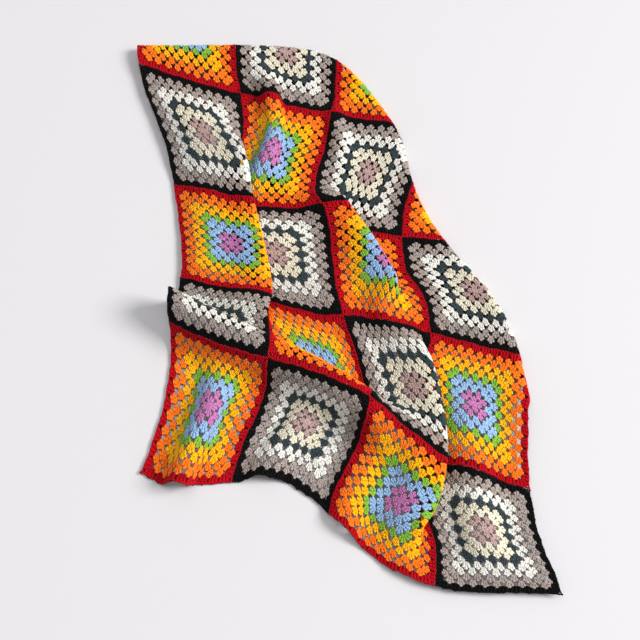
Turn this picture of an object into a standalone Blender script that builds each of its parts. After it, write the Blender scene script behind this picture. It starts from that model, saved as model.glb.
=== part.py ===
"""Granny square blanket: 4 by 5 crocheted squares, sewn edge to edge and thrown down in folds.

Metres, +Z up, +Y along the blanket from its hem. The origin is the middle of the box, on the
surface that the blanket lies on. Each square is one closed sheet of its own.

A place on the cloth is (u, v): u across from the left edge, v up from the hem, both measured on
the blanket laid smooth. lay() takes it to where that place lies in the folds.
"""

from collections import namedtuple
from math import cos, pi, radians, sin

import bmesh
import bpy
import numpy as np
from mathutils import Vector

# Driving sizes
SIDE = 0.280  # one square, 10 rounds of double crochet
ROUNDS = 10
ACROSS, ALONG = 4, 5  # squares
THICKNESS = 0.004
SEAM_GAP = 0.0008  # between neighbouring squares

# Openwork: the largest gaps of a square lie where a round turns its corner
GAP_ROUNDS = (5, 7, 9)
GAP_WIDTH = 0.009  # across the flats of a gap
CELLS = 9  # per side of a square, each holding at most one gap

# Refining where the cloth bends
TURN_PER_EDGE = radians(37)
SHORTEST_EDGE = 0.006
REFINEMENTS = 3

# Where the middle of the laid blanket's box lies in the axes of the SEAMS table
BOX_MIDDLE = (0.0015, 0.5748)

# The cross seams from the hem up: place along the cloth, where the seam's middle lies, its
# heading in degrees from +X, and its width as a share of the cloth's
Seam = namedtuple("Seam", "along middle_x middle_y heading spread")
SEAMS = (
    Seam(0.00, 0.068, -0.018, -11.0, 0.90),
    Seam(0.28, 0.068, 0.268, -19.5, 0.89),
    Seam(0.56, 0.040, 0.535, -12.0, 0.87),
    Seam(0.84, 0.006, 0.795, -9.0, 0.88),
    Seam(1.12, -0.020, 1.085, -11.0, 0.95),
    Seam(1.40, -0.055, 1.365, -13.0, 0.98),
)

# Laps: the cloth turns under itself along a line and out again, away from the line's right-hand
# side. under is the length of the layer between, ramp how far the top layer takes to rise
Lap = namedtuple("Lap", "name u0 v0 u1 v1 under ramp fade_in fade_out")
LAPS = (
    Lap("first column over second", 0.266, 1.13, 0.285, 0.36, 0.088, 0.18, 0.37, 0.40),
    Lap("third column over fourth", 0.805, 0.64, 0.790, 0.00, 0.052, 0.16, 0.32, 0.30),
    Lap("slanting lap", 0.560, 0.98, 0.810, 0.57, 0.064, 0.12, 0.28, 0.24),
)
LAP_BEND = 0.008  # radius of its two turns
LAP_TURN = radians(170)
LAP_TURNS_BY = 0.62  # share of a lap's full size at which it is turned right over

# Ridges: soft rolls along a line. lean moves the crest to the line's left by that share of its
# height, and fade is how far the ridge takes to die away beyond each end
Ridge = namedtuple("Ridge", "name u0 v0 u1 v1 width height lean fade")
RIDGES = (
    Ridge("cross roll", -0.10, 0.36, 0.54, 0.28, 0.27, 0.098, 0.30, 0.24),
    Ridge("first column hem", 0.12, 0.00, 0.14, 0.14, 0.16, 0.052, -0.15, 0.14),
    Ridge("second column hem", 0.36, 0.00, 0.40, 0.12, 0.14, 0.026, 0.00, 0.14),
    Ridge("third column hem", 0.60, 0.00, 0.60, 0.10, 0.15, 0.026, 0.00, 0.14),
    Ridge("bright square", 0.405, 0.99, 0.375, 1.12, 0.12, 0.038, -0.10, 0.12),
    Ridge("gather", 0.58, 1.09, 0.60, 1.04, 0.09, 0.018, 0.00, 0.09),
    Ridge("right side", 0.97, 0.14, 0.97, 0.34, 0.19, 0.036, 0.00, 0.14),
    Ridge("left side", 0.06, 0.62, 0.10, 0.98, 0.18, 0.022, 0.00, 0.14),
)
SPREADING = 0.9  # how fast a fold's pull dies out sideways

# The top edge and the top right of the cloth are turned under, round one smooth line. Each
# stretch of it passes through a place on the cloth and faces that many degrees from the cross
# direction
Stretch = namedtuple("Stretch", "name u v faces")
TURNED_EDGE = (
    Stretch("top edge", 0.28, 1.245, 107.0),
    Stretch("top right corner", 0.755, 1.110, 41.0),
    Stretch("right edge", 1.050, 0.720, 19.0),
)
TURN_ROUNDING = 0.12
TURN_BEND = 0.009
TURN_WAY = (radians(106), radians(36))  # the way it is turned, at the left and at the right
WAY_BENDS = (0.10, 1.00)  # between these places across the cloth
# The layer above comes down in two steps: at the turn, and past where the turned cloth ends
FIRST_STEP, SECOND_STEP = 0.45, 0.55  # shares of the height
FIRST_RAMP, SECOND_RAMP = 0.08, 0.12
UNDER_REACH = (0.20, 0.54)  # how far back the turned cloth comes, at the left and at the right
REACH_GROWS = (0.05, 0.42)  # between these places across the cloth

# The hem dips outwards at DIP_AT and is drawn in either side of it, and its middle is pulled to
# the left. Both die out up the cloth
HEM_DIP, DIP_AT, HEM_WAVE = 0.040, 0.84, 0.75
HEM_PULL = 0.035
HEM_REACH = 0.50

# Low swells all over, level in spots between them. One of the level spots is at LEVEL_SPOT
SWELL_HEIGHT, SWELL_WAVE, SWELL_SPOT = 0.0012, 0.40, 0.45
LEVEL_SPOT = (0.42, 0.52)

BRIGHT = ("bright_yarn", (0.80, 0.22, 0.03))
NEUTRAL = ("neutral_yarn", (0.55, 0.52, 0.47))


def ease(share):
    """0 to 1 with level ends."""
    share = np.clip(share, 0.0, 1.0)
    return share * share * (3 - 2 * share)


def rising(place, span):
    """0 to 1 between the ends of a span."""
    return ease((place - span[0]) / (span[1] - span[0]))


def along_line(fold, u, v):
    """How far (u, v) is along a fold's line and to its left, the line's direction and length."""
    run = np.hypot(fold.u1 - fold.u0, fold.v1 - fold.v0)
    ahead = ((fold.u1 - fold.u0) / run, (fold.v1 - fold.v0) / run)
    left = (-ahead[1], ahead[0])
    along = (u - fold.u0) * ahead[0] + (v - fold.v0) * ahead[1]
    aside = (u - fold.u0) * left[0] + (v - fold.v0) * left[1]
    return along, aside, left, run


def lap(fold, u, v):
    """A lap's shift in u and v, and its height."""
    along, aside, left, run = along_line(fold, u, v)
    wide = SPREADING * np.abs(aside)
    share = ease((along + wide) / (fold.fade_in + 2 * wide))
    share = share * ease((run - along + wide) / (fold.fade_out + 2 * wide))
    turn = np.maximum(LAP_TURN * ease(share / LAP_TURNS_BY), 1e-4)
    half = fold.under * share / 2
    middle = half * np.sin(turn) + LAP_BEND * (1 - np.cos(turn))
    away = np.abs(aside)
    bent = np.clip((away - half) / LAP_BEND, 0.0, turn)
    reach = np.minimum(away, half) * np.cos(turn)
    reach = reach + LAP_BEND * (np.sin(turn) - np.sin(turn - bent))
    reach = reach + np.maximum(away - half - LAP_BEND * turn, 0.0)
    drop = np.minimum(away, half) * np.sin(turn) + LAP_BEND * (np.cos(turn - bent) - np.cos(turn))
    before = np.maximum(-aside - half - LAP_BEND * turn, 0.0)
    height = middle - np.sign(aside) * drop - 2 * middle * ease(before / fold.ramp)
    shift = np.sign(aside) * reach - aside
    return shift * left[0], shift * left[1], height


def ridge(fold, u, v):
    """A ridge's shift in u and v, and its height."""
    along, aside, left, run = along_line(fold, u, v)
    wide = SPREADING * np.maximum(np.abs(aside) - fold.width / 2, 0.0)
    share = ease((along + fold.fade + wide) / (fold.fade + 2 * wide))
    share = share * ease((run + fold.fade - along + wide) / (fold.fade + 2 * wide))
    crest = fold.height * share
    across = np.clip(aside / fold.width, -0.5, 0.5)
    height = crest * np.cos(pi * across) ** 2
    steep = pi * crest / fold.width
    taken = steep**2 * (1 + 0.2 * steep**2) * fold.width  # cloth that the slopes take up
    shift = fold.lean * height - taken * (across / 4 - np.sin(4 * pi * across) / (16 * pi))
    return shift * left[0], shift * left[1], height


def turned_under(u, v):
    """The shift in u and v of the cloth that is turned under, its height, and what is left there
    of the other folds. past is how far the place is past the turn, the way it is turned."""
    way = TURN_WAY[0] + (TURN_WAY[1] - TURN_WAY[0]) * rising(u, WAY_BENDS)
    out_u, out_v = np.cos(way), np.sin(way)
    past, *others = (
        ((u - edge.u) * cos(radians(edge.faces)) + (v - edge.v) * sin(radians(edge.faces)))
        / np.cos(way - radians(edge.faces))
        for edge in TURNED_EDGE
    )
    for other in others:
        past = (past + other + np.hypot(past - other, TURN_ROUNDING)) / 2
    bent = np.clip(past / TURN_BEND, 0.0, pi)
    half_turn = pi * TURN_BEND
    shift = TURN_BEND * np.sin(bent) - np.clip(past, 0.0, half_turn)
    shift = shift - 2 * np.maximum(past - half_turn, 0.0)
    reach = UNDER_REACH[0] + (UNDER_REACH[1] - UNDER_REACH[0]) * rising(u, REACH_GROWS)
    falling = FIRST_STEP * ease(-past / FIRST_RAMP)
    falling = falling + SECOND_STEP * ease((-past - reach) / SECOND_RAMP)
    above = (2 * TURN_BEND + THICKNESS) * (1 - falling)
    height = np.where(past > 0, TURN_BEND * (1 + np.cos(bent)) + THICKNESS, above)
    kept = 1 - ease(past / (2 * TURN_BEND) + 0.5)
    return shift * out_u, shift * out_v, height, kept


def swell(u, v):
    """The height of the low swells."""
    wave_u = np.cos(2 * pi * (u - LEVEL_SPOT[0]) / SWELL_WAVE)
    wave_v = np.cos(2 * pi * (v - LEVEL_SPOT[1]) / SWELL_WAVE)
    return SWELL_HEIGHT * ease(SWELL_SPOT - wave_u * wave_v)


def through(places, values, at):
    """A smooth curve through values given at places."""
    slopes = np.gradient(values, places)
    span = np.clip(np.searchsorted(places, at) - 1, 0, len(places) - 2)
    width = places[span + 1] - places[span]
    t = np.clip((at - places[span]) / width, -0.5, 1.5)
    start = (2 * t**3 - 3 * t**2 + 1) * values[span] + (t**3 - 2 * t**2 + t) * width * slopes[span]
    end = (3 * t**2 - 2 * t**3) * values[span + 1] + (t**3 - t**2) * width * slopes[span + 1]
    return start + end


def lay(u, v):
    """Where the underside of the cloth's point (u, v) lies."""
    shift_u, shift_v, height = np.zeros_like(u), np.zeros_like(u), np.zeros_like(u)
    for shape, folds in ((lap, LAPS), (ridge, RIDGES)):
        for fold in folds:
            more_u, more_v, higher = shape(fold, u, v)
            shift_u, shift_v, height = shift_u + more_u, shift_v + more_v, height + higher
    more_u, more_v, higher, kept = turned_under(u, v)
    shift_u, shift_v = shift_u + more_u, shift_v + more_v
    height = height * kept + higher + swell(u, v)
    near_hem = 1 - ease(v / HEM_REACH)
    pull = HEM_PULL * np.sin(pi * (u / (ACROSS * SIDE)) ** 2) * near_hem
    dip = HEM_DIP * np.cos(2 * pi * (u - DIP_AT) / HEM_WAVE) * near_hem
    across = u + shift_u - ACROSS * SIDE / 2 - pull
    along = v + shift_v - dip
    places, *columns = np.array(SEAMS).T
    middle_x, middle_y, heading, spread = (through(places, column, along) for column in columns)
    x = middle_x + across * spread * np.cos(np.radians(heading)) - BOX_MIDDLE[0]
    y = middle_y + across * spread * np.sin(np.radians(heading)) - BOX_MIDDLE[1]
    return np.stack([x, y, height], -1)


def lay_normal(u, v):
    """Which way the cloth's upper face looks at (u, v)."""
    step = 0.0005
    across = lay(u + step, v) - lay(u - step, v)
    along = lay(u, v + step) - lay(u, v - step)
    normal = np.cross(across, along)
    return normal / np.linalg.norm(normal, axis=-1, keepdims=True)


def cut_gaps(grid):
    """Cuts the corner gaps of GAP_ROUNDS through a flat square about the origin."""
    pitch = SIDE / ROUNDS / 2
    for number in GAP_ROUNDS:
        middle = (number - 0.5) * pitch
        for sign_u, sign_v in ((1, 1), (-1, 1), (-1, -1), (1, -1)):
            centre = Vector((sign_u * middle, sign_v * middle, 0.0))
            cell = min(grid.faces, key=lambda face: (face.calc_center_median() - centre).length)
            inset = (SIDE / CELLS - GAP_WIDTH) / 2
            bmesh.ops.inset_individual(grid, faces=[cell], thickness=inset)
            bmesh.ops.translate(grid, verts=cell.verts, vec=centre - cell.calc_center_median())
            bmesh.ops.delete(grid, geom=[cell], context="FACES_ONLY")


def refine(grid, corner_u, corner_v):
    """Divides the edges over which the laid cloth turns by more than TURN_PER_EDGE. Places are
    rounded past the seam gap, so that both sides of a seam are divided alike."""
    for _ in range(REFINEMENTS):
        ends = np.array([[end.co[:2] for end in edge.verts] for edge in grid.edges])
        places = np.round(ends + (corner_u, corner_v), 3)
        normals = lay_normal(places[..., 0], places[..., 1])
        turn = np.arccos(np.clip((normals[:, 0] * normals[:, 1]).sum(-1), -1, 1))
        length = np.linalg.norm(ends[:, 1] - ends[:, 0], axis=-1)
        sharp = (turn > TURN_PER_EDGE) & (length > 2 * SHORTEST_EDGE)
        edges = [edge for edge, bent in zip(grid.edges, sharp, strict=True) if bent]
        if edges:
            bmesh.ops.subdivide_edges(grid, edges=edges, cuts=1, use_grid_fill=True)


def bend(slab, corner_u, corner_v):
    """Takes a flat slab to its place in the folds, its height kept square to the cloth."""
    flat = np.array([vert.co for vert in slab.verts])
    u, v = flat[:, 0] + corner_u, flat[:, 1] + corner_v
    places = lay(u, v) + flat[:, 2:] * lay_normal(u, v)
    for vert, place in zip(slab.verts, places, strict=True):
        vert.co = place


def material(name, colour):
    yarn = bpy.data.materials.new(name)
    yarn.use_nodes = True
    shader = yarn.node_tree.nodes["Principled BSDF"]
    shader.inputs["Base Color"].default_value = (*colour, 1.0)
    shader.inputs["Roughness"].default_value = 0.85
    shader.inputs["Metallic"].default_value = 0.0
    return yarn


def square(column, row, yarn, blanket):
    """One granny square, laid where its place in the blanket's folds is."""
    middle_u, middle_v = (column + 0.5) * SIDE, (row + 0.5) * SIDE
    grid = bmesh.new()
    half = (SIDE - SEAM_GAP) / 2
    bmesh.ops.create_grid(grid, x_segments=CELLS, y_segments=CELLS, size=half)
    cut_gaps(grid)
    refine(grid, middle_u, middle_v)
    bmesh.ops.triangulate(grid, faces=grid.faces[:])
    upper = bmesh.ops.extrude_face_region(grid, geom=grid.faces[:])["geom"]
    upper = [item for item in upper if isinstance(item, bmesh.types.BMVert)]
    bmesh.ops.translate(grid, verts=upper, vec=(0.0, 0.0, THICKNESS))
    bmesh.ops.recalc_face_normals(grid, faces=grid.faces[:])
    bend(grid, middle_u, middle_v)
    walls = [face for face in grid.faces if len(face.verts) == 4]
    bmesh.ops.triangulate(grid, faces=walls, quad_method="SHORT_EDGE")
    mesh = bpy.data.meshes.new(f"granny_square_row{row + 1}_column{column + 1}")
    grid.to_mesh(mesh)
    grid.free()
    mesh.materials.append(yarn)
    sheet = bpy.data.objects.new(mesh.name, mesh)
    blanket.objects.link(sheet)


def main():
    for old in list(bpy.data.objects):
        bpy.data.objects.remove(old)
    blanket = bpy.data.collections.new("Granny square blanket")
    bpy.context.scene.collection.children.link(blanket)
    bright, neutral = material(*BRIGHT), material(*NEUTRAL)
    for row in range(ALONG):
        for column in range(ACROSS):
            square(column, row, neutral if (row + column) % 2 else bright, blanket)


main()
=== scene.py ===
"""Granny square blanket, thrown down in folds: its stitches, joins and yarns.

Metres, +Z up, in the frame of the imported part. A place on the cloth is (u, v), u across from the
left edge and v up from the hem, and lay() takes it to where that place lies in the folds.
"""

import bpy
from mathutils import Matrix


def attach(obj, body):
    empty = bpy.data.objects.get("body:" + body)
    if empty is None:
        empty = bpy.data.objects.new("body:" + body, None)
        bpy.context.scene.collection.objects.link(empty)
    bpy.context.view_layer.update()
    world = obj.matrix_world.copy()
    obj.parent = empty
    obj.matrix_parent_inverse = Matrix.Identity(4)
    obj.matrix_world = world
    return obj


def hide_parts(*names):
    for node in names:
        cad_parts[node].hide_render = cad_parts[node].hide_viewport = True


bl_info = {
    "name": "Granny Square Blanket",
    "version": (1, 0, 0),
    "blender": (4, 5, 0),
    "location": "View3D > Sidebar > Blanket",
    "description": "Crochets a granny square blanket and lays it down in folds",
    "category": "Add Mesh",
}

from collections import namedtuple
from math import atan2, cos, pi, radians, sin
from random import Random

import bmesh
import bpy
import numpy as np
from bpy.props import FloatProperty, FloatVectorProperty, PointerProperty
from mathutils import Matrix, Vector

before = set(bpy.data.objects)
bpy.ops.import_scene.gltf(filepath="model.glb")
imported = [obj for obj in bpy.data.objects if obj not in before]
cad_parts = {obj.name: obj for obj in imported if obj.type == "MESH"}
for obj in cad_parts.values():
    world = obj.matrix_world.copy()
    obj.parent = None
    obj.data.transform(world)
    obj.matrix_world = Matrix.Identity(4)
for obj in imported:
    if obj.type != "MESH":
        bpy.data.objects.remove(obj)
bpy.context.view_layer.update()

# The blanket
SIDE = 0.280  # one square
ROUNDS = 10
ACROSS, ALONG = 4, 5  # squares
MIDDLE_RING = 0.0055  # radius of the ring of chains that the first round is worked into
ROUND_HEIGHT = (SIDE / 2 - MIDDLE_RING) / ROUNDS
CLUSTER_PITCH = 2 * ROUND_HEIGHT  # along a round
MIDDLE = 0.0022  # from the cloth's underside to the middle of its stitches
PER_METRE = 1000  # millimetres in a metre

# ---- How the blanket lies ----------------------------------------------------------------------

# Where the middle of the laid blanket's box lies in the axes of the SEAMS table
BOX_MIDDLE = (0.0015, 0.5748)

# The cross seams from the hem up: place along the cloth, where the seam's middle lies, its
# heading in degrees from +X, and its width as a share of the cloth's
Seam = namedtuple("Seam", "along middle_x middle_y heading spread")
SEAMS = (
    Seam(0.00, 0.068, -0.018, -11.0, 0.90),
    Seam(0.28, 0.068, 0.268, -19.5, 0.89),
    Seam(0.56, 0.040, 0.535, -12.0, 0.87),
    Seam(0.84, 0.006, 0.795, -9.0, 0.88),
    Seam(1.12, -0.020, 1.085, -11.0, 0.95),
    Seam(1.40, -0.055, 1.365, -13.0, 0.98),
)

# Laps: the cloth turns under itself along a line and out again, away from the line's right-hand
# side. under is the length of the layer between, ramp how far the top layer takes to rise,
# and fade_in and fade_out how far along the line it takes to grow, from each end
Lap = namedtuple("Lap", "name u0 v0 u1 v1 under ramp fade_in fade_out")
LAPS = (
    Lap("first column over second", 0.266, 1.13, 0.285, 0.36, 0.088, 0.18, 0.37, 0.40),
    Lap("third column over fourth", 0.805, 0.64, 0.790, 0.00, 0.052, 0.16, 0.32, 0.30),
    Lap("slanting lap", 0.560, 0.98, 0.810, 0.57, 0.064, 0.12, 0.28, 0.24),
)
LAP_BEND = 0.008  # radius of its two turns
LAP_TURN = radians(170)
LAP_TURNS_BY = 0.62  # share of a lap's full size at which it is turned right over

# Ridges: soft rolls along a line. lean moves the crest to the line's left by that share of its
# height, and fade is how far the ridge takes to die away beyond each end
Ridge = namedtuple("Ridge", "name u0 v0 u1 v1 width height lean fade")
RIDGES = (
    Ridge("cross roll", -0.10, 0.36, 0.54, 0.28, 0.27, 0.098, 0.30, 0.24),
    Ridge("first column hem", 0.12, 0.00, 0.14, 0.14, 0.16, 0.052, -0.15, 0.14),
    Ridge("second column hem", 0.36, 0.00, 0.40, 0.12, 0.14, 0.026, 0.00, 0.14),
    Ridge("third column hem", 0.60, 0.00, 0.60, 0.10, 0.15, 0.026, 0.00, 0.14),
    Ridge("bright square", 0.405, 0.99, 0.375, 1.12, 0.12, 0.038, -0.10, 0.12),
    Ridge("gather", 0.58, 1.09, 0.60, 1.04, 0.09, 0.018, 0.00, 0.09),
    Ridge("right side", 0.97, 0.14, 0.97, 0.34, 0.19, 0.036, 0.00, 0.14),
    Ridge("left side", 0.06, 0.62, 0.10, 0.98, 0.18, 0.022, 0.00, 0.14),
)
SPREADING = 0.9  # how fast a fold's pull dies out sideways

# The top edge and the top right of the cloth are turned under, round one smooth line. Each
# stretch of it passes through a place on the cloth and faces that many degrees from the cross
# direction
Stretch = namedtuple("Stretch", "name u v faces")
TURNED_EDGE = (
    Stretch("top edge", 0.28, 1.245, 107.0),
    Stretch("top right corner", 0.755, 1.110, 41.0),
    Stretch("right edge", 1.050, 0.720, 19.0),
)
TURN_ROUNDING = 0.12
TURN_BEND = 0.009
TURN_WAY = (radians(106), radians(36))  # the way it is turned, at the left and at the right
WAY_BENDS = (0.10, 1.00)  # between these places across the cloth
THICKNESS = 0.004
# The layer above comes down in two steps: at the turn, and past where the turned cloth ends
FIRST_STEP, SECOND_STEP = 0.45, 0.55  # shares of the height
FIRST_RAMP, SECOND_RAMP = 0.08, 0.12
UNDER_REACH = (0.20, 0.54)  # how far back the turned cloth comes, at the left and at the right
REACH_GROWS = (0.05, 0.42)  # between these places across the cloth

# The hem dips outwards at DIP_AT and is drawn in either side of it, and its middle is pulled to
# the left. Both die out up the cloth
HEM_DIP, DIP_AT, HEM_WAVE = 0.040, 0.84, 0.75
HEM_PULL = 0.035
HEM_REACH = 0.50

# Low swells all over, level in spots between them. One of the level spots is at LEVEL_SPOT
SWELL_HEIGHT, SWELL_WAVE, SWELL_SPOT = 0.0012, 0.40, 0.45
LEVEL_SPOT = (0.42, 0.52)


def ease(share):
    """0 to 1 with level ends."""
    share = np.clip(share, 0.0, 1.0)
    return share * share * (3 - 2 * share)


def rising(place, span):
    """0 to 1 between the ends of a span."""
    return ease((place - span[0]) / (span[1] - span[0]))


def along_line(fold, u, v):
    """How far (u, v) is along a fold's line and to its left, the line's direction and length."""
    run = np.hypot(fold.u1 - fold.u0, fold.v1 - fold.v0)
    ahead = ((fold.u1 - fold.u0) / run, (fold.v1 - fold.v0) / run)
    left = (-ahead[1], ahead[0])
    along = (u - fold.u0) * ahead[0] + (v - fold.v0) * ahead[1]
    aside = (u - fold.u0) * left[0] + (v - fold.v0) * left[1]
    return along, aside, left, run


def lap(fold, u, v):
    """A lap's shift in u and v, and its height."""
    along, aside, left, run = along_line(fold, u, v)
    wide = SPREADING * np.abs(aside)
    share = ease((along + wide) / (fold.fade_in + 2 * wide))
    share = share * ease((run - along + wide) / (fold.fade_out + 2 * wide))
    turn = np.maximum(LAP_TURN * ease(share / LAP_TURNS_BY), 1e-4)
    half = fold.under * share / 2
    middle = half * np.sin(turn) + LAP_BEND * (1 - np.cos(turn))
    away = np.abs(aside)
    bent = np.clip((away - half) / LAP_BEND, 0.0, turn)
    reach = np.minimum(away, half) * np.cos(turn)
    reach = reach + LAP_BEND * (np.sin(turn) - np.sin(turn - bent))
    reach = reach + np.maximum(away - half - LAP_BEND * turn, 0.0)
    drop = np.minimum(away, half) * np.sin(turn) + LAP_BEND * (np.cos(turn - bent) - np.cos(turn))
    before = np.maximum(-aside - half - LAP_BEND * turn, 0.0)
    height = middle - np.sign(aside) * drop - 2 * middle * ease(before / fold.ramp)
    shift = np.sign(aside) * reach - aside
    return shift * left[0], shift * left[1], height


def ridge(fold, u, v):
    """A ridge's shift in u and v, and its height."""
    along, aside, left, run = along_line(fold, u, v)
    wide = SPREADING * np.maximum(np.abs(aside) - fold.width / 2, 0.0)
    share = ease((along + fold.fade + wide) / (fold.fade + 2 * wide))
    share = share * ease((run + fold.fade - along + wide) / (fold.fade + 2 * wide))
    crest = fold.height * share
    across = np.clip(aside / fold.width, -0.5, 0.5)
    height = crest * np.cos(pi * across) ** 2
    steep = pi * crest / fold.width
    taken = steep**2 * (1 + 0.2 * steep**2) * fold.width  # cloth that the slopes take up
    shift = fold.lean * height - taken * (across / 4 - np.sin(4 * pi * across) / (16 * pi))
    return shift * left[0], shift * left[1], height


def turned_under(u, v):
    """The shift in u and v of the cloth that is turned under, its height, and what is left there
    of the other folds. past is how far the place is past the turn, the way it is turned."""
    way = TURN_WAY[0] + (TURN_WAY[1] - TURN_WAY[0]) * rising(u, WAY_BENDS)
    out_u, out_v = np.cos(way), np.sin(way)
    past, *others = (
        ((u - edge.u) * cos(radians(edge.faces)) + (v - edge.v) * sin(radians(edge.faces)))
        / np.cos(way - radians(edge.faces))
        for edge in TURNED_EDGE
    )
    for other in others:
        past = (past + other + np.hypot(past - other, TURN_ROUNDING)) / 2
    bent = np.clip(past / TURN_BEND, 0.0, pi)
    half_turn = pi * TURN_BEND
    shift = TURN_BEND * np.sin(bent) - np.clip(past, 0.0, half_turn)
    shift = shift - 2 * np.maximum(past - half_turn, 0.0)
    reach = UNDER_REACH[0] + (UNDER_REACH[1] - UNDER_REACH[0]) * rising(u, REACH_GROWS)
    falling = FIRST_STEP * ease(-past / FIRST_RAMP)
    falling = falling + SECOND_STEP * ease((-past - reach) / SECOND_RAMP)
    above = (2 * TURN_BEND + THICKNESS) * (1 - falling)
    height = np.where(past > 0, TURN_BEND * (1 + np.cos(bent)) + THICKNESS, above)
    kept = 1 - ease(past / (2 * TURN_BEND) + 0.5)
    return shift * out_u, shift * out_v, height, kept


def swell(u, v):
    """The height of the low swells."""
    wave_u = np.cos(2 * pi * (u - LEVEL_SPOT[0]) / SWELL_WAVE)
    wave_v = np.cos(2 * pi * (v - LEVEL_SPOT[1]) / SWELL_WAVE)
    return SWELL_HEIGHT * ease(SWELL_SPOT - wave_u * wave_v)


def through(places, values, at):
    """A smooth curve through values given at places."""
    slopes = np.gradient(values, places)
    span = np.clip(np.searchsorted(places, at) - 1, 0, len(places) - 2)
    width = places[span + 1] - places[span]
    t = np.clip((at - places[span]) / width, -0.5, 1.5)
    start = (2 * t**3 - 3 * t**2 + 1) * values[span] + (t**3 - 2 * t**2 + t) * width * slopes[span]
    end = (3 * t**2 - 2 * t**3) * values[span + 1] + (t**3 - t**2) * width * slopes[span + 1]
    return start + end


def lay(u, v):
    """Where the underside of the cloth's point (u, v) lies."""
    shift_u, shift_v, height = np.zeros_like(u), np.zeros_like(u), np.zeros_like(u)
    for shape, folds in ((lap, LAPS), (ridge, RIDGES)):
        for fold in folds:
            more_u, more_v, higher = shape(fold, u, v)
            shift_u, shift_v, height = shift_u + more_u, shift_v + more_v, height + higher
    more_u, more_v, higher, kept = turned_under(u, v)
    shift_u, shift_v = shift_u + more_u, shift_v + more_v
    height = height * kept + higher + swell(u, v)
    near_hem = 1 - ease(v / HEM_REACH)
    pull = HEM_PULL * np.sin(pi * (u / (ACROSS * SIDE)) ** 2) * near_hem
    dip = HEM_DIP * np.cos(2 * pi * (u - DIP_AT) / HEM_WAVE) * near_hem
    across = u + shift_u - ACROSS * SIDE / 2 - pull
    along = v + shift_v - dip
    places, *columns = np.array(SEAMS).T
    middle_x, middle_y, heading, spread = (through(places, column, along) for column in columns)
    x = middle_x + across * spread * np.cos(np.radians(heading)) - BOX_MIDDLE[0]
    y = middle_y + across * spread * np.sin(np.radians(heading)) - BOX_MIDDLE[1]
    return np.stack([x, y, height], -1)


def lay_normal(u, v):
    """Which way the cloth's upper face looks at (u, v)."""
    step = 0.0005
    across = lay(u + step, v) - lay(u - step, v)
    along = lay(u, v + step) - lay(u, v - step)
    normal = np.cross(across, along)
    return normal / np.linalg.norm(normal, axis=-1, keepdims=True)


# ---- Stitches ----------------------------------------------------------------------------------

# A strand is a bead of yarn from one end to the other, in millimetres: x across, y up from its
# foot, z towards the eye. start_width and end_width are its widths a quarter of its length from
# each end. Most are slim, and the yarn behind the posts is a wide, flat one
Strand = namedtuple("Strand", "name x0 y0 z0 x1 y1 z1 start_width end_width depth sides")

# A double crochet: its post, seen from the front, and the loop on its head
POST = 0.020  # its height
LOWER_LEG = Strand("lower leg", 1.5, -1.5, -0.3, -1.5, 11.8, 1.1, 4.9, 6.6, 5.2, 5)
UPPER_LEG = Strand("upper leg", 2.0, 8.6, 1.2, -1.4, 19.0, 0.6, 7.0, 7.0, 5.4, 5)
HEAD_LOOP = Strand("head loop", -4.9, 17.8, 0.9, 4.9, 19.0, 1.1, 5.6, 5.4, 5.0, 5)

# A cluster is three double crochets worked into one space. Their feet and their heads stand
# these pitches apart, foot_depth is how far they reach into the round inside, head_arch is how
# much lower the outer heads are, loop_turn is how far their loops turn down, and back is the yarn
# behind the posts
Spread = namedtuple("Spread", "foot_pitch head_pitch foot_depth head_arch loop_turn back")
CLUSTER = Spread(
    0.0030, 0.0066, 0.0058, 0.0042, radians(18),
    Strand("back", 0.0, -6.0, -0.8, 0.0, 14.2, -0.6, 13.0, 20.0, 2.8, 4),
)
# The last round's posts stand about evenly apart, with no gaps between its clusters
LAST_CLUSTER = Spread(
    0.0054, 0.0093, 0.0056, 0.0002, 0.0,
    Strand("back", 0.0, -5.5, 0.0, 0.0, 14.0, 0.0, 25.0, 32.0, 3.0, 4),
)
# The two clusters that share a corner lean towards it, and stand this much further from it
CORNER_LEAN, CORNER_GAP = radians(8), 0.0022
# The first rounds are worked tighter, so their clusters are narrower and the holes between show
TIGHT_ROUNDS, TIGHT_WIDTH = 2, 0.80
# How far a cluster may turn, move and grow from its place
UNEVEN_TURN, UNEVEN_PLACE, UNEVEN_SIZE = radians(4), 0.0007, 0.05

# The last loops, round the edge of the square
EDGE_PITCH = SIDE / 60
EDGE_INSET = 0.0026
EDGE_LOOP = Strand("edge loop", -3.6, -1.0, 0.7, 3.6, 1.0, 0.7, 4.4, 4.4, 4.2, 5)

# The join, worked over both edges from the front. It lies this far towards the bright squares
JOIN_PITCH = SIDE / 60
JOIN_SHIFT = 0.0015
JOIN_LOOP = Strand("join loop", -1.3, -3.2, 2.7, 1.3, 3.2, 2.7, 3.3, 3.3, 3.4, 5)

# How the stitches wander from their places, in waves of this length: sideways as v changes, and
# up as u changes. A drift is how many radians such a wave is ahead for each length the other way
Wander = namedtuple("Wander", "length reach sideways_drift up_drift")
WANDER = (
    Wander(0.083, 0.0009, 3, -2),
    Wander(0.031, 0.0006, 3, -2),
)

ROUND_YARNS = (0, 0, 1, 1, 2, 3, 3, 4, 4, 5)  # which of the square's six yarns each round has
SQUARE_SEED, JOIN_SEED = 7, 11  # of their random draws


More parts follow.
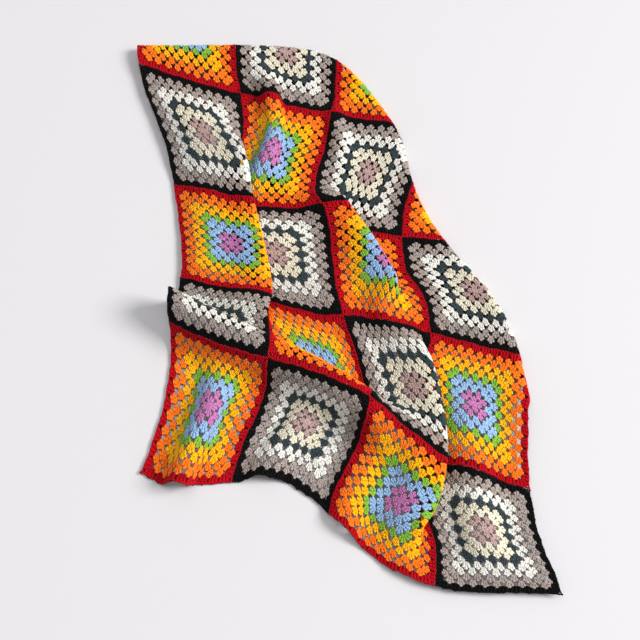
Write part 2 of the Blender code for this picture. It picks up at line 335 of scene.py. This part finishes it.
def add_strand(mesh, strand, place, tint=0.0):
    """Adds one strand, with its UV map's u round it and its v along it. It is a ball of two rings
    and two poles, drawn out along its height."""
    thickness = bpy.context.scene.blanket_stitches.thickness
    made = bmesh.ops.create_uvsphere(
        mesh, u_segments=strand.sides, v_segments=3, radius=0.5, calc_uvs=True
    )["verts"]
    for vert in made:
        if abs(vert.co.z) < 0.4:  # on a ring, which is at 0.25, and not a pole
            width = strand.end_width if vert.co.z > 0 else strand.start_width
            vert.co.xy *= thickness * width / (2 * vert.co.xy.length * PER_METRE)
            vert.co.y *= 2 * strand.depth / (strand.start_width + strand.end_width)
    start = Vector((strand.x0, strand.y0, strand.z0)) / PER_METRE
    end = Vector((strand.x1, strand.y1, strand.z1)) / PER_METRE
    ahead = (end - start).normalized()
    side = ahead.cross(Vector((0, 0, 1))).normalized()
    turn = Matrix((side, ahead.cross(side), ahead)).transposed().to_4x4()
    size = Matrix.Diagonal((1.0, 1.0, (end - start).length, 1.0))
    matrix = place @ Matrix.Translation((start + end) / 2) @ turn @ size
    bmesh.ops.transform(mesh, matrix=matrix, verts=made)
    layer = mesh.verts.layers.float["tint"]
    for vert in made:
        vert[layer] = tint


def new_stitch_mesh():
    """An empty mesh with the layers that the yarns read."""
    mesh = bmesh.new()
    mesh.loops.layers.uv.new("Strand")
    mesh.verts.layers.float.new("tint")
    mesh.verts.layers.float.new("height")
    return mesh


def finished(mesh, name):
    """Turns a bmesh into a mesh of Blender's."""
    made = bpy.data.meshes.new(name)
    mesh.to_mesh(made)
    mesh.free()
    return made


def note_heights(mesh):
    """Keeps each point's height in the flat cloth, in millimetres, for the yarn's shade."""
    layer = mesh.verts.layers.float["height"]
    for vert in mesh.verts:
        vert[layer] = vert.co.z * PER_METRE


def cluster(spread):
    """Meshes of the posts of three double crochets and of the rest of them. Their round starts at
    y = 0, and their feet reach below it."""
    posts, loops = new_stitch_mesh(), new_stitch_mesh()
    loop_middle = Vector((HEAD_LOOP.x0 + HEAD_LOOP.x1, HEAD_LOOP.y0 + HEAD_LOOP.y1, 0.0))
    loop_middle /= 2 * PER_METRE
    for number in (-1, 0, 1):
        foot = Vector((number * spread.foot_pitch, -spread.foot_depth, 0.0))
        head = Vector((number * spread.head_pitch, ROUND_HEIGHT, 0.0))
        head.y -= spread.head_arch * number**2
        post = head - foot
        turn = Matrix.Rotation(atan2(post.y, post.x) - pi / 2, 4, "Z")
        size = Matrix.Diagonal((1.0, post.length / POST, 1.0, 1.0))
        place = Matrix.Translation(foot) @ turn @ size
        add_strand(posts, LOWER_LEG, place)
        add_strand(posts, UPPER_LEG, place)
        if spread is CLUSTER:  # the edge loops are the last round's head loops
            turned = (
                Matrix.Translation(loop_middle)
                @ Matrix.Rotation(-number * spread.loop_turn, 4, "Z")
                @ Matrix.Translation(-loop_middle)
            )
            add_strand(loops, HEAD_LOOP, place @ turned)
    add_strand(loops, spread.back, Matrix.Identity(4))
    return finished(posts, "Posts"), finished(loops, "Loops")


def add_copy(mesh, source, place, yarn, tint):
    """Adds a transformed copy of a stitch mesh, in one yarn."""
    old_verts, old_faces = len(mesh.verts), len(mesh.faces)
    mesh.from_mesh(source)
    mesh.verts.ensure_lookup_table()
    mesh.faces.ensure_lookup_table()
    added = mesh.verts[old_verts:]
    bmesh.ops.transform(mesh, matrix=place, verts=added)
    layer = mesh.verts.layers.float["tint"]
    for vert in added:
        vert[layer] = tint
    for face in mesh.faces[old_faces:]:
        face.material_index = yarn


def flat_square():
    """The stitches of one square, laid flat about the origin: its posts, and its loops."""
    unevenness = bpy.context.scene.blanket_stitches.unevenness
    chance = Random(SQUARE_SEED)
    sources = {False: cluster(CLUSTER), True: cluster(LAST_CLUSTER)}
    meshes = new_stitch_mesh(), new_stitch_mesh()
    for number in range(1, ROUNDS + 1):
        inner = MIDDLE_RING + (number - 1) * ROUND_HEIGHT
        width = TIGHT_WIDTH if number <= TIGHT_ROUNDS else 1.0
        for side in range(4):
            for place in range(number):
                end = (place == 0) - (place == number - 1)
                along = (place - (number - 1) / 2) * CLUSTER_PITCH + end * CORNER_GAP
                uneven = [unevenness * chance.uniform(-1, 1) for _ in range(5)]
                at = (along + UNEVEN_PLACE * uneven[0], inner + UNEVEN_PLACE * uneven[1], 0.0)
                matrix = (
                    Matrix.Rotation(side * pi / 2, 4, "Z")
                    @ Matrix.Translation(at)
                    @ Matrix.Rotation(end * CORNER_LEAN + UNEVEN_TURN * uneven[2], 4, "Z")
                    @ Matrix.Scale(1 + UNEVEN_SIZE * uneven[3], 4)
                    @ Matrix.Diagonal((width, 1.0, 1.0, 1.0))
                )
                for mesh, source in zip(meshes, sources[number == ROUNDS]):
                    add_copy(mesh, source, matrix, ROUND_YARNS[number - 1], uneven[4])
    loops = meshes[1]
    before = len(loops.faces)
    for side in range(4):
        for place in range(round(SIDE / EDGE_PITCH)):
            along = (place + 0.5) * EDGE_PITCH - SIDE / 2
            matrix = Matrix.Rotation(side * pi / 2, 4, "Z")
            matrix = matrix @ Matrix.Translation((along, SIDE / 2 - EDGE_INSET, 0.0))
            add_strand(loops, EDGE_LOOP, matrix, chance.uniform(-1, 1))
    loops.faces.ensure_lookup_table()
    for face in loops.faces[before:]:
        face.material_index = ROUND_YARNS[-1]
    for pair in sources.values():
        for source in pair:
            bpy.data.meshes.remove(source)
    for mesh in meshes:
        note_heights(mesh)
    return finished(meshes[0], "Flat posts"), finished(meshes[1], "Flat loops")


def bend(mesh, corner_u, corner_v):
    """Takes a flat mesh of stitches to its place in the folds."""
    flat = np.empty(len(mesh.vertices) * 3, np.float32)
    mesh.vertices.foreach_get("co", flat)
    flat = flat.reshape(-1, 3).astype(float)
    u, v = flat[:, 0] + corner_u, flat[:, 1] + corner_v
    for wave in WANDER:
        reach = wave.reach * bpy.context.scene.blanket_stitches.wander
        sideways = 2 * pi * v / wave.length + wave.sideways_drift * u / wave.length
        up = 2 * pi * u / wave.length + wave.up_drift * v / wave.length
        u, v = u + reach * np.sin(sideways), v + reach * np.sin(up)
    places = lay(u, v) + (MIDDLE + flat[:, 2:]) * lay_normal(u, v)
    mesh.vertices.foreach_set("co", places.astype(np.float32).ravel())
    mesh.shade_smooth()
    mesh.update()


# ---- Yarns -------------------------------------------------------------------------------------

# A real ply is about 1.5 mm wide, too fine to show, so a slim strand has three plies drawn 2 to
# 4 mm wide. Each goes round it once in its length, which is 7 to 14 mm
PLIES, PLY_TURNS = 3, 1
BAND_WIDTH = 2 * pi / 20  # of the wave texture, from band to band at a scale of 1
# A fibre is 0.02 mm thick, too fine to show, so fibres are drawn as clumps 1.4 mm across. The
# patches of another shade, where the wool was blended, are 6 mm across
FIBRE_CLUMPS, HEATHER_PATCHES = 7, 1.6  # to a centimetre
PER_CENTIMETRE = 100  # centimetres in a metre
USUAL_NOISE = (0.3, 0.7)  # most of a noise texture's values lie between these
PLY_PAINTED_SHADE, STITCH_SHADE = 0.16, 0.07  # painted shade in the plies' grooves and painted highlight on their crests, and how far the stitches differ in tone at random
RELIEF, RELIEF_STRENGTH = 0.0008, 0.6  # depth of the grooves, and how strongly it shows
# Less light reaches the yarn that lies low in the cloth: heights in millimetres, and its shade
HOLLOW, CREST, HOLLOW_SHADE = -0.2, 2.2, 0.25


def linear(code):
    """An sRGB hex colour as linear red, green and blue."""
    shares = (int(code[place : place + 2], 16) / 255 for place in (1, 3, 5))
    return tuple(x / 12.92 if x <= 0.04045 else ((x + 0.055) / 1.055) ** 2.4 for x in shares)


def add_node(tree, kind, links=(), **settings):
    """Adds a node, sets its properties and inputs by name, and links (input, socket) pairs."""
    node = tree.nodes.new(kind)
    for name, value in settings.items():
        if hasattr(node, name):
            setattr(node, name, value)
        else:
            node.inputs[name.replace("_", " ")].default_value = value
    for name, socket in links:
        tree.links.new(socket, node.inputs[name])
    return node


def yarn(name, colour, heather):
    """Aran-weight wool yarn of three soft plies, worsted spun: matt and rounded, with grooves
    between its plies drawn as relief and as painted shade, the plies' crests painted lighter, and
    a faint bloom of loose fibres at its edges. heather is how far its patches differ in shade."""
    made = bpy.data.materials.new(name)
    made.use_nodes = True
    tree = made.node_tree
    tree.nodes.clear()
    uv = add_node(tree, "ShaderNodeUVMap", uv_map="Strand")
    place = add_node(tree, "ShaderNodeTexCoord").outputs["Object"]
    ply = add_node(
        tree, "ShaderNodeVectorMath", [(0, uv.outputs["UV"])], operation="DOT_PRODUCT"
    )
    ply.inputs[1].default_value = (PLIES * BAND_WIDTH, PLIES * PLY_TURNS * BAND_WIDTH, 0)
    wave = add_node(
        tree, "ShaderNodeTexWave", [("Vector", ply.outputs["Value"])], bands_direction="X",
        Scale=1.0, Distortion=0.0,
    )
    fibres = add_node(
        tree, "ShaderNodeTexNoise", [("Vector", place)],
        Scale=FIBRE_CLUMPS * PER_CENTIMETRE, Detail=3.0, Roughness=0.6,
    )
    patches = add_node(
        tree, "ShaderNodeTexNoise", [("Vector", place)],
        Scale=HEATHER_PATCHES * PER_CENTIMETRE, Detail=2.0, Roughness=0.6,
    )
    tint = add_node(tree, "ShaderNodeAttribute", attribute_name="tint")
    shade = add_node(
        tree, "ShaderNodeMapRange", [("Value", patches.outputs["Fac"])],
        From_Min=USUAL_NOISE[0], From_Max=USUAL_NOISE[1],
        To_Min=1 - heather, To_Max=1 + heather,
    )
    # Painted shade and highlight: the plies' grooves are painted darker and their crests lighter
    groove = add_node(
        tree, "ShaderNodeMapRange", [("Value", wave.outputs["Fac"])],
        From_Min=0.0, From_Max=1.0, To_Min=1 - PLY_PAINTED_SHADE, To_Max=1 + PLY_PAINTED_SHADE,
    )
    stitch = add_node(
        tree, "ShaderNodeMapRange", [("Value", tint.outputs["Fac"])],
        From_Min=-1.0, From_Max=1.0, To_Min=1 - STITCH_SHADE, To_Max=1 + STITCH_SHADE,
    )
    height = add_node(tree, "ShaderNodeAttribute", attribute_name="height")
    hollow = add_node(
        tree, "ShaderNodeMapRange", [("Value", height.outputs["Fac"])],
        From_Min=HOLLOW, From_Max=CREST, To_Min=HOLLOW_SHADE, To_Max=1.0,
    )
    both = add_node(
        tree, "ShaderNodeMath",
        [(0, shade.outputs["Result"]), (1, groove.outputs["Result"])], operation="MULTIPLY",
    )
    cavity = add_node(
        tree, "ShaderNodeMath",
        [(0, both.outputs["Value"]), (1, hollow.outputs["Result"])], operation="MULTIPLY",
    )
    three = add_node(
        tree, "ShaderNodeMath",
        [(0, cavity.outputs["Value"]), (1, stitch.outputs["Result"])], operation="MULTIPLY",
    )
    tone = add_node(
        tree, "ShaderNodeVectorMath", [("Scale", three.outputs["Value"])], operation="SCALE"
    )
    tone.inputs[0].default_value = colour
    relief = add_node(
        tree, "ShaderNodeMath",
        [(0, wave.outputs["Fac"]), (1, fibres.outputs["Fac"])], operation="ADD",
    )
    bump = add_node(
        tree, "ShaderNodeBump", [("Height", relief.outputs["Value"])],
        Strength=RELIEF_STRENGTH, Distance=RELIEF,
    )
    shader = add_node(
        tree, "ShaderNodeBsdfPrincipled",
        [("Base Color", tone.outputs["Vector"]), ("Normal", bump.outputs["Normal"])],
        Roughness=0.85, Sheen_Weight=0.03, Sheen_Roughness=0.5, Specular_IOR_Level=0.08,
    )
    add_node(tree, "ShaderNodeOutputMaterial", [("Surface", shader.outputs["BSDF"])])
    return made


# ---- The add-on --------------------------------------------------------------------------------

Shade = namedtuple("Shade", "key label code heather")
BRIGHT_SHADES = (
    Shade("orchid", "Orchid", "#C27AB0", 0.10),
    Shade("sky", "Sky blue", "#94B7DB", 0.10),
    Shade("leaf", "Leaf green", "#83B440", 0.10),
    Shade("gold", "Golden yellow", "#FCB514", 0.08),
    Shade("orange", "Orange", "#F97A1E", 0.08),
    Shade("red", "Red", "#B80518", 0.08),
)
NEUTRAL_SHADES = (
    Shade("rose", "Rose taupe", "#B99B95", 0.14),
    Shade("cream", "Cream", "#DFD8C2", 0.06),
    Shade("charcoal", "Charcoal", "#364245", 0.16),
    Shade("white", "Off-white", "#E3E1D8", 0.05),
    Shade("stone", "Warm grey", "#A4978F", 0.22),
    Shade("black", "Black", "#0B0A0B", 0.10),
)


# The stage. The floor lies just under the lowest strands, and reaches this far each way
FLOOR_HEIGHT, FLOOR_REACH = -0.0024, 40.0
AIM = (-0.0199, -0.0668, 0.0)  # where the camera looks
SURROUND_COLOUR = "#EEEEF2"
# The lamps, which all look at the origin. spread is a sun's angle, or an area lamp's side
Lamp = namedtuple("Lamp", "name kind x y z spread")
LAMPS = (
    Lamp("key", "SUN", 8.0, 0.6, 6.6, radians(26)),
    Lamp("fill", "SUN", -0.6, 0.3, 5.4, radians(40)),
    Lamp("glow", "AREA", 3.5, 0.2, 3.0, 2.0),
)


class BlanketYarns(bpy.types.PropertyGroup):
    """The colours of the yarns."""

    __annotations__ = {
        shade.key: FloatVectorProperty(
            name=shade.label,
            description=f"Colour of the {shade.label.lower()} yarn",
            subtype="COLOR",
            size=3,
            min=0.0,
            max=1.0,
            default=linear(shade.code),
        )
        for shade in BRIGHT_SHADES + NEUTRAL_SHADES
    }


class BlanketStitches(bpy.types.PropertyGroup):
    """The hand of the crochet."""

    thickness: FloatProperty(
        name="Yarn thickness", description="Width of the strands, as a share of aran yarn's",
        default=1.0, min=0.5, max=1.5,
    )
    unevenness: FloatProperty(
        name="Unevenness", description="How far clusters turn, move and grow from their places",
        default=1.0, min=0.0, max=3.0,
    )
    wander: FloatProperty(
        name="Wander", description="How far whole rows wander from their lines",
        default=1.0, min=0.0, max=3.0,
    )


class BlanketStage(bpy.types.PropertyGroup):
    """The camera, the light and the floor."""

    floor_colour: FloatVectorProperty(
        name="Floor", description="Colour of the floor", subtype="COLOR", size=3, min=0.0, max=1.0,
        default=linear("#CFCDCE"),
    )
    key: FloatProperty(
        name="Key", description="Strength of the light from the right", default=2.7, min=0.0
    )
    fill: FloatProperty(
        name="Fill", description="Strength of the light from overhead", default=0.80, min=0.0
    )
    glow: FloatProperty(
        name="Glow", description="Power of the near lamp that brightens the floor at the right",
        unit="POWER", default=66.0, min=0.0,
    )
    surround: FloatProperty(
        name="Surround", description="Strength of the light from all round", default=0.46, min=0.0
    )
    lens: FloatProperty(
        name="Lens", description="Focal length of the camera", subtype="DISTANCE_CAMERA",
        default=75.0, min=1.0,
    )
    azimuth: FloatProperty(
        name="Azimuth", description="Camera's turn round the blanket", subtype="ANGLE",
        default=radians(5),
    )
    elevation: FloatProperty(
        name="Elevation", description="Camera's height above the horizon", subtype="ANGLE",
        default=radians(66),
    )
    distance: FloatProperty(
        name="Distance", description="From the blanket to the camera", unit="LENGTH", default=3.1
    )


def crochet_squares(context, shades, odd):
    """Makes the squares of one kind, each from the same flat stitches."""
    settings = context.scene.blanket_yarns
    yarns = [
        yarn(f"{shade.label} yarn", tuple(getattr(settings, shade.key)), shade.heather)
        for shade in shades
    ]
    flat = flat_square()
    for row in range(ALONG):
        for column in range(ACROSS):
            if (row + column) % 2 != odd:
                continue
            node = f"granny_square_row{row + 1}_column{column + 1}"
            for kind, source in zip(("posts", "loops"), flat):
                mesh = source.copy()
                for material in yarns:
                    mesh.materials.append(material)
                bend(mesh, (column + 0.5) * SIDE, (row + 0.5) * SIDE)
                piece = bpy.data.objects.new(f"{kind}_{node}", mesh)
                context.scene.collection.objects.link(piece)
                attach(piece, "root")
            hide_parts(node)
    for source in flat:
        bpy.data.meshes.remove(source)


class BLANKET_OT_bright_squares(bpy.types.Operator):
    """Crochet the bright squares"""

    bl_idname = "blanket.bright_squares"
    bl_label = "Bright Squares"

    def execute(self, context):
        crochet_squares(context, BRIGHT_SHADES, 0)
        return {"FINISHED"}


class BLANKET_OT_neutral_squares(bpy.types.Operator):
    """Crochet the neutral squares"""

    bl_idname = "blanket.neutral_squares"
    bl_label = "Neutral Squares"

    def execute(self, context):
        crochet_squares(context, NEUTRAL_SHADES, 1)
        return {"FINISHED"}


class BLANKET_OT_joins(bpy.types.Operator):
    """Join the squares, in rows across and along the blanket"""

    bl_idname = "blanket.joins"
    bl_label = "Joins"

    def execute(self, context):
        red = bpy.data.materials["Red yarn"]  # made with the bright squares
        width, length = ACROSS * SIDE, ALONG * SIDE
        rows = [("across", k, width, (0.0, k * SIDE), 0.0) for k in range(1, ALONG)]
        rows += [("along", k, length, (k * SIDE, 0.0), pi / 2) for k in range(1, ACROSS)]
        chance = Random(JOIN_SEED)
        for way, line, run, start, heading in rows:
            name = f"join_{way}_{line}"
            mesh = new_stitch_mesh()
            for number in range(round(run / JOIN_PITCH)):
                at = (number + 0.5) * JOIN_PITCH
                square = int(at / SIDE)  # which square along the row it is at
                bright_left = (line + square) % 2 == (0 if way == "across" else 1)
                aside = JOIN_SHIFT if bright_left else -JOIN_SHIFT
                matrix = Matrix.Rotation(heading, 4, "Z") @ Matrix.Translation((at, aside, 0.0))
                add_strand(mesh, JOIN_LOOP, matrix, chance.uniform(-1, 1))
            note_heights(mesh)
            made = finished(mesh, name)
            made.materials.append(red)
            bend(made, *start)
            piece = bpy.data.objects.new(name, made)
            context.scene.collection.objects.link(piece)
            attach(piece, "root")
        return {"FINISHED"}


class BLANKET_OT_stage(bpy.types.Operator):
    """Set the floor, the lights and the camera"""

    bl_idname = "blanket.stage"
    bl_label = "Stage"

    def execute(self, context):
        scene = context.scene
        settings = scene.blanket_stage
        floor_mesh = bmesh.new()
        bmesh.ops.create_grid(floor_mesh, x_segments=1, y_segments=1, size=FLOOR_REACH)
        mesh = bpy.data.meshes.new("floor")
        floor_mesh.to_mesh(mesh)
        floor_mesh.free()
        floor = bpy.data.objects.new("floor", mesh)
        floor.location.z = FLOOR_HEIGHT
        # Matt paint: an even tone with soft shadows and no glare
        material = bpy.data.materials.new("Painted studio floor")
        material.use_nodes = True
        shader = material.node_tree.nodes["Principled BSDF"]
        shader.inputs["Base Color"].default_value = (*settings.floor_colour, 1)
        shader.inputs["Roughness"].default_value = 0.7
        mesh.materials.append(material)
        scene.collection.objects.link(floor)

        world = bpy.data.worlds.new("Studio")
        world.use_nodes = True
        background = world.node_tree.nodes["Background"]
        background.inputs["Color"].default_value = (*linear(SURROUND_COLOUR), 1)
        background.inputs["Strength"].default_value = settings.surround
        scene.world = world
        scene.view_settings.view_transform = "Standard"

        # The suns light the floor evenly as far as it goes
        for lamp in LAMPS:
            light = bpy.data.lights.new(lamp.name, lamp.kind)
            light.energy = getattr(settings, lamp.name)
            if lamp.kind == "SUN":
                light.angle = lamp.spread
            else:
                light.size = lamp.spread
            place = Vector((lamp.x, lamp.y, lamp.z))
            light_object = bpy.data.objects.new(lamp.name, light)
            light_object.location = place
            light_object.rotation_euler = (-place).to_track_quat("-Z", "Y").to_euler()
            scene.collection.objects.link(light_object)

        a, e = settings.azimuth, settings.elevation
        back = Vector((sin(a) * cos(e), -cos(a) * cos(e), sin(e)))
        camera = bpy.data.objects.new("camera", bpy.data.cameras.new("camera"))
        camera.data.lens = settings.lens
        camera.location = Vector(AIM) + back * settings.distance
        camera.rotation_euler = (-back).to_track_quat("-Z", "Y").to_euler()
        scene.collection.objects.link(camera)
        scene.camera = camera
        return {"FINISHED"}


class BLANKET_PT_panel(bpy.types.Panel):
    """Shows a button for each of the add-on's operators"""

    bl_label = "Granny Square Blanket"
    bl_idname = "BLANKET_PT_panel"
    bl_space_type = "VIEW_3D"
    bl_region_type = "UI"
    bl_category = "Blanket"

    def draw(self, context):
        for operator in OPERATORS:
            self.layout.operator(operator.bl_idname)


OPERATORS = (
    BLANKET_OT_bright_squares,
    BLANKET_OT_neutral_squares,
    BLANKET_OT_joins,
    BLANKET_OT_stage,
)
CLASSES = (BlanketYarns, BlanketStitches, BlanketStage, *OPERATORS, BLANKET_PT_panel)


def register():
    """Adds the add-on's classes and its settings."""
    for one in CLASSES:
        bpy.utils.register_class(one)
    bpy.types.Scene.blanket_yarns = PointerProperty(type=BlanketYarns)
    bpy.types.Scene.blanket_stitches = PointerProperty(type=BlanketStitches)
    bpy.types.Scene.blanket_stage = PointerProperty(type=BlanketStage)


def unregister():
    """Takes away the add-on's settings and classes."""
    del bpy.types.Scene.blanket_stage
    del bpy.types.Scene.blanket_stitches
    del bpy.types.Scene.blanket_yarns
    for one in reversed(CLASSES):
        bpy.utils.unregister_class(one)


def main():
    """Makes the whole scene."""
    register()
    for operator in OPERATORS:
        group, name = operator.bl_idname.split(".")
        getattr(getattr(bpy.ops, group), name)()


if __name__ == "__main__":
    main()
